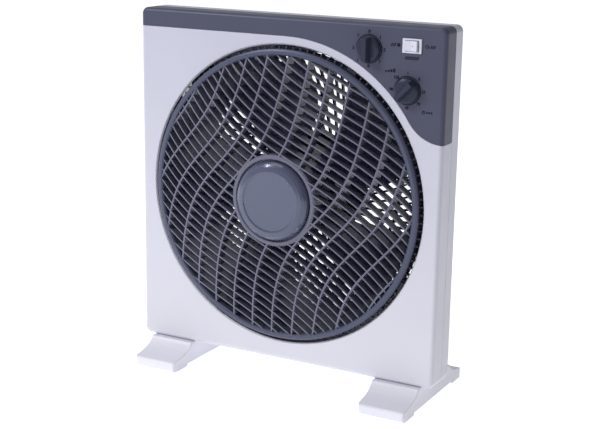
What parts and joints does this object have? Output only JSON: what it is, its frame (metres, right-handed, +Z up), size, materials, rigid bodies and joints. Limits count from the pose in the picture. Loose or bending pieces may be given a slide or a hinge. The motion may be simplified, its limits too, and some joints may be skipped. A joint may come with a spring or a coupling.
{
  "type": "box fan",
  "caption": "Free-standing box fan with a flat square case, a round rotating louver grille in front, an axial fan in a rear duct, rotary dials and a rocker switch, on two low feet.",
  "frame": {"origin": "centre of the footprint, on the surface that the feet stand on", "axes": "+X to the right seen from the front, +Y to the back along the fan axis, +Z up"},
  "size_m": [0.365, 0.158, 0.405],
  "materials": {
    "case_white": "fine satin",
    "panel_slate": "satin",
    "louver_grey": "satin",
    "cap_grey": "gloss",
    "grille_dark": "satin",
    "blade_grey": "satin",
    "knob_dark": "satin",
    "switch_white": "gloss",
    "switch_black": "satin",
    "acetal_white": "smooth",
    "zinc_steel": "zinc plated",
    "zinc_screws": "zinc plated",
    "bright_steel": "ground",
    "core_steel": "laminated, varnished",
    "cast_bell": "die cast",
    "copper": "enamelled copper wire",
    "bronze": "sintered bronze",
    "brass_tabs": "plain",
    "rubber_black": "matte",
    "lead_black": "smooth",
    "lead_white": "smooth"
  },
  "bodies": {
    "root": {"front_housing": "case_white", "rear_housing": "case_white", "left_foot": "case_white", "right_foot": "case_white", "control_panel": "panel_slate", "rear_grille": "grille_dark", "louver_switch": "switch_white", "louver_clips": "switch_black", "louver_motor": "zinc_steel", "stator_core": "core_steel", "motor_windings": "copper", "motor_front_bell": "cast_bell", "motor_rear_bell": "cast_bell", "motor_front_bearing": "bronze", "motor_rear_bearing": "bronze", "speed_switch": "switch_black", "timer_mechanism": "switch_black", "switch_tabs": "brass_tabs", "terminal_block": "acetal_white", "terminal_screws": "brass_tabs", "run_capacitor": "switch_black", "cord_gland": "rubber_black", "motor_lead": "lead_black", "supply_lead": "lead_black", "control_lead": "lead_black", "louver_lead": "lead_white", "panel_screws": "zinc_screws", "case_screws": "zinc_screws", "grille_screws": "zinc_screws", "louver_motor_screws": "zinc_screws", "motor_bolts": "zinc_screws", "motor_nuts": "zinc_screws", "motor_spacers": "zinc_screws", "control_screws": "zinc_screws", "foot_screws": "zinc_screws"},
    "fan": {"fan_blade": "blade_grey", "blade_nut": "blade_grey", "motor_shaft": "bright_steel", "drive_pin": "bright_steel", "rotor": "core_steel"},
    "louver": {"louver_grille": "louver_grey", "louver_cap": "cap_grey"},
    "pinion": {"louver_pinion": "acetal_white", "pinion_shaft": "bright_steel"},
    "speed": {"speed_knob": "knob_dark", "speed_shaft": "acetal_white"},
    "timer": {"timer_knob": "knob_dark", "timer_shaft": "acetal_white"},
    "rocker": {"louver_rocker": "switch_white"}
  },
  "joints": [
    {"name": "fan_spin", "type": "hinge", "parent": "root", "child": "fan", "pos_m": [0, 0, 0.2116], "axis": [0, 1, 0], "continuous": true},
    {"name": "louver_spin", "type": "hinge", "parent": "root", "child": "louver", "pos_m": [0, 0, 0.2116], "axis": [0, 1, 0], "continuous": true},
    {"name": "pinion_spin", "type": "hinge", "parent": "root", "child": "pinion", "pos_m": [-0.13348, -0.033, 0.32361], "axis": [0, 1, 0], "continuous": true},
    {"name": "speed_turn", "type": "hinge", "parent": "root", "child": "speed", "pos_m": [0.0975, -0.04, 0.3785], "axis": [0, 1, 0], "continuous": true},
    {"name": "timer_turn", "type": "hinge", "parent": "root", "child": "timer", "pos_m": [0.1415, -0.04, 0.3395], "axis": [0, 1, 0], "range_deg": [-45, 270]},
    {"name": "rocker_tilt", "type": "hinge", "parent": "root", "child": "rocker", "pos_m": [0.1453, -0.0375, 0.3848], "axis": [0, 0, 1], "range_deg": [0, 15]}
  ],
  "couplings": [
    {"joint": "pinion_spin", "follows": "louver_spin", "ratio": -12}
  ]
}
